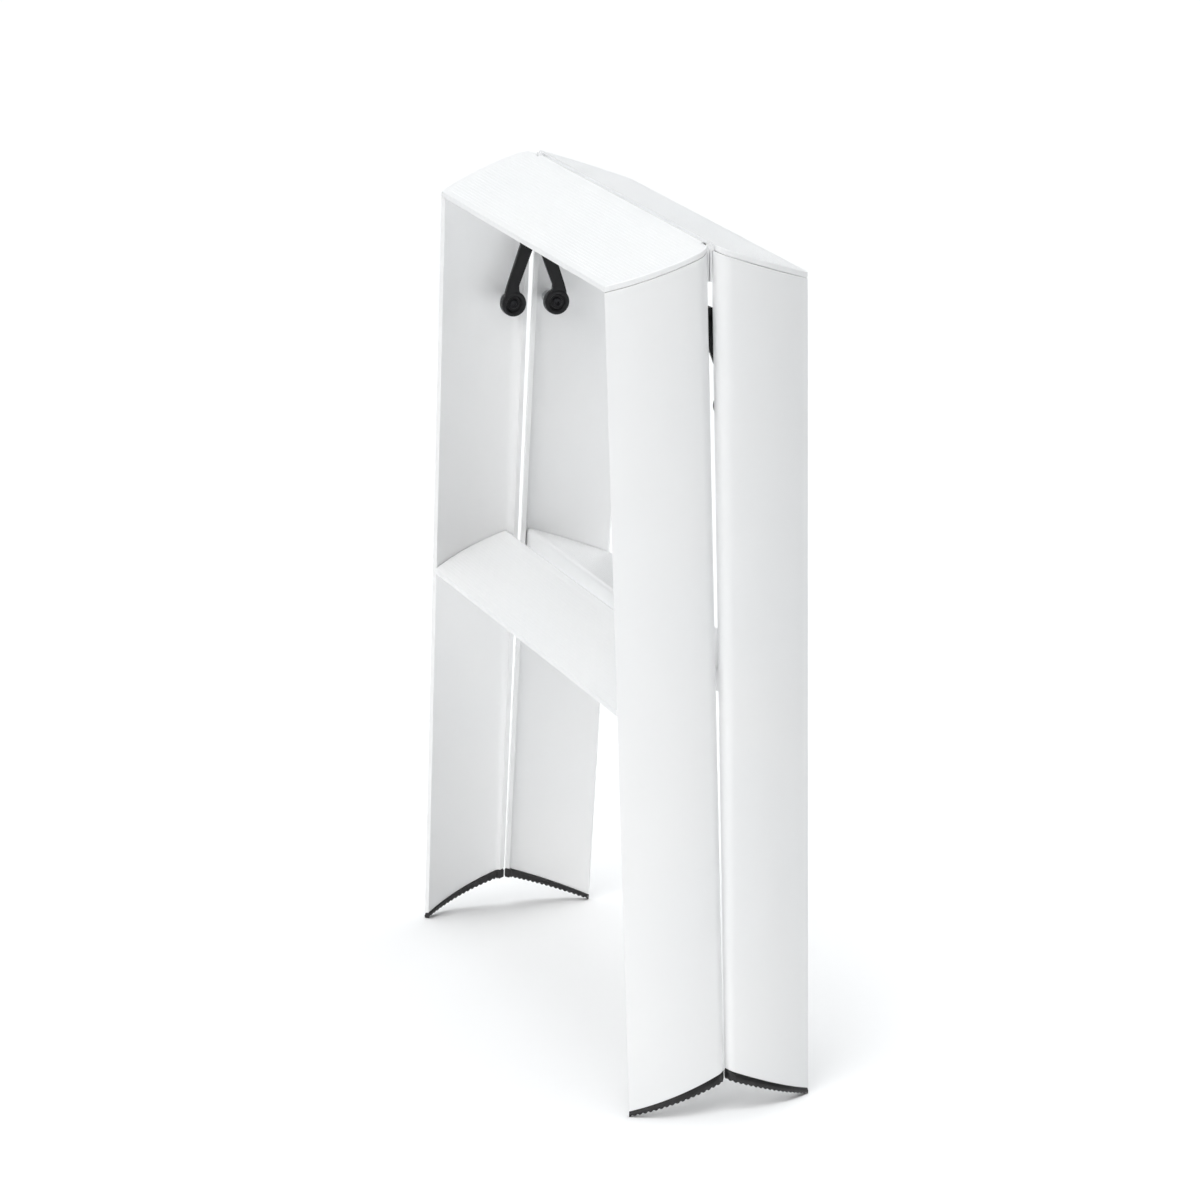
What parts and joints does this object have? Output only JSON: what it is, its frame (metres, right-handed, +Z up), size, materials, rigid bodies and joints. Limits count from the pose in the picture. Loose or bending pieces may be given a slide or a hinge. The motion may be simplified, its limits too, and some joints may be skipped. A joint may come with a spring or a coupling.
{
  "type": "step stool",
  "caption": "Folding double-sided step stool in white painted aluminium, two level treads, curved splayed legs, black stay arms and ribbed rubber feet, shown folded",
  "frame": {"origin": "on the floor below the hinge, in the middle of the folded stool", "axes": "+X across the treads, +Y through the fold from the front frame to the rear frame, +Z up"},
  "size_m": [0.458, 0.1478, 0.6],
  "materials": {
    "white_paint": "satin white powder coat",
    "black_nylon": "satin black",
    "black_rubber": "matt black",
    "bare_aluminium": "mill finish",
    "steel": "black oxide"
  },
  "bodies": {
    "front_frame": {"front_tread": "white_paint", "front_step": "white_paint", "front_hinge_leaf": "white_paint", "front_hinge_leaf_screw_1": "steel", "front_hinge_leaf_screw_2": "steel", "front_left_leg": "white_paint", "front_left_foot": "black_rubber", "front_left_tread_bracket": "bare_aluminium", "front_left_tread_bracket_leg_screw": "steel", "front_left_tread_bracket_plate_screw": "steel", "front_left_step_bracket": "bare_aluminium", "front_left_step_bracket_leg_screw": "steel", "front_left_step_bracket_plate_screw": "steel", "front_right_leg": "white_paint", "front_right_foot": "black_rubber", "front_right_tread_bracket": "bare_aluminium", "front_right_tread_bracket_leg_screw": "steel", "front_right_tread_bracket_plate_screw": "steel", "front_right_step_bracket": "bare_aluminium", "front_right_step_bracket_leg_screw": "steel", "front_right_step_bracket_plate_screw": "steel", "left_front_arm_spacer": "bare_aluminium", "left_front_arm_bolt": "steel", "right_front_arm_spacer": "bare_aluminium", "right_front_arm_bolt": "steel", "hinge_pin": "steel"},
    "rear_frame": {"rear_tread": "white_paint", "rear_step": "white_paint", "rear_hinge_leaf": "white_paint", "rear_hinge_leaf_screw_1": "steel", "rear_hinge_leaf_screw_2": "steel", "rear_left_leg": "white_paint", "rear_left_foot": "black_rubber", "rear_left_tread_bracket": "bare_aluminium", "rear_left_tread_bracket_leg_screw": "steel", "rear_left_tread_bracket_plate_screw": "steel", "rear_left_step_bracket": "bare_aluminium", "rear_left_step_bracket_leg_screw": "steel", "rear_left_step_bracket_plate_screw": "steel", "rear_right_leg": "white_paint", "rear_right_foot": "black_rubber", "rear_right_tread_bracket": "bare_aluminium", "rear_right_tread_bracket_leg_screw": "steel", "rear_right_tread_bracket_plate_screw": "steel", "rear_right_step_bracket": "bare_aluminium", "rear_right_step_bracket_leg_screw": "steel", "rear_right_step_bracket_plate_screw": "steel", "left_rear_arm_spacer": "bare_aluminium", "left_rear_arm_bolt": "steel", "right_rear_arm_spacer": "bare_aluminium", "right_rear_arm_bolt": "steel"},
    "left_front_arm": {"left_front_arm": "black_nylon", "left_front_arm_rivet": "steel"},
    "left_rear_arm": {"left_rear_arm": "black_nylon", "left_rear_arm_rivet": "steel"},
    "right_front_arm": {"right_front_arm": "black_nylon", "right_front_arm_rivet": "steel"},
    "right_rear_arm": {"right_rear_arm": "black_nylon", "right_rear_arm_rivet": "steel"}
  },
  "joints": [
    {"name": "fold", "type": "hinge", "parent": "front_frame", "child": "rear_frame", "pos_m": [0, 0, 0.5963], "axis": [1, 0, 0], "range_deg": [0, 38]},
    {"name": "left_front_arm_swing", "type": "hinge", "parent": "front_frame", "child": "left_front_arm", "pos_m": [-0.1685, -0.0162, 0.4875], "axis": [1, 0, 0], "range_deg": [-18.72, 0]},
    {"name": "left_rear_arm_swing", "type": "hinge", "parent": "rear_frame", "child": "left_rear_arm", "pos_m": [-0.1648, 0.0162, 0.4875], "axis": [1, 0, 0], "range_deg": [0, 18.72]},
    {"name": "right_front_arm_swing", "type": "hinge", "parent": "front_frame", "child": "right_front_arm", "pos_m": [0.1685, -0.0162, 0.4875], "axis": [1, 0, 0], "range_deg": [-18.72, 0]},
    {"name": "right_rear_arm_swing", "type": "hinge", "parent": "rear_frame", "child": "right_rear_arm", "pos_m": [0.1648, 0.0162, 0.4875], "axis": [1, 0, 0], "range_deg": [0, 18.72]}
  ],
  "couplings": [
    {"joint": "left_front_arm_swing", "follows": "fold", "ratio": -0.49237},
    {"joint": "left_rear_arm_swing", "follows": "fold", "ratio": 0.49237},
    {"joint": "right_front_arm_swing", "follows": "fold", "ratio": -0.49237},
    {"joint": "right_rear_arm_swing", "follows": "fold", "ratio": 0.49237}
  ]
}
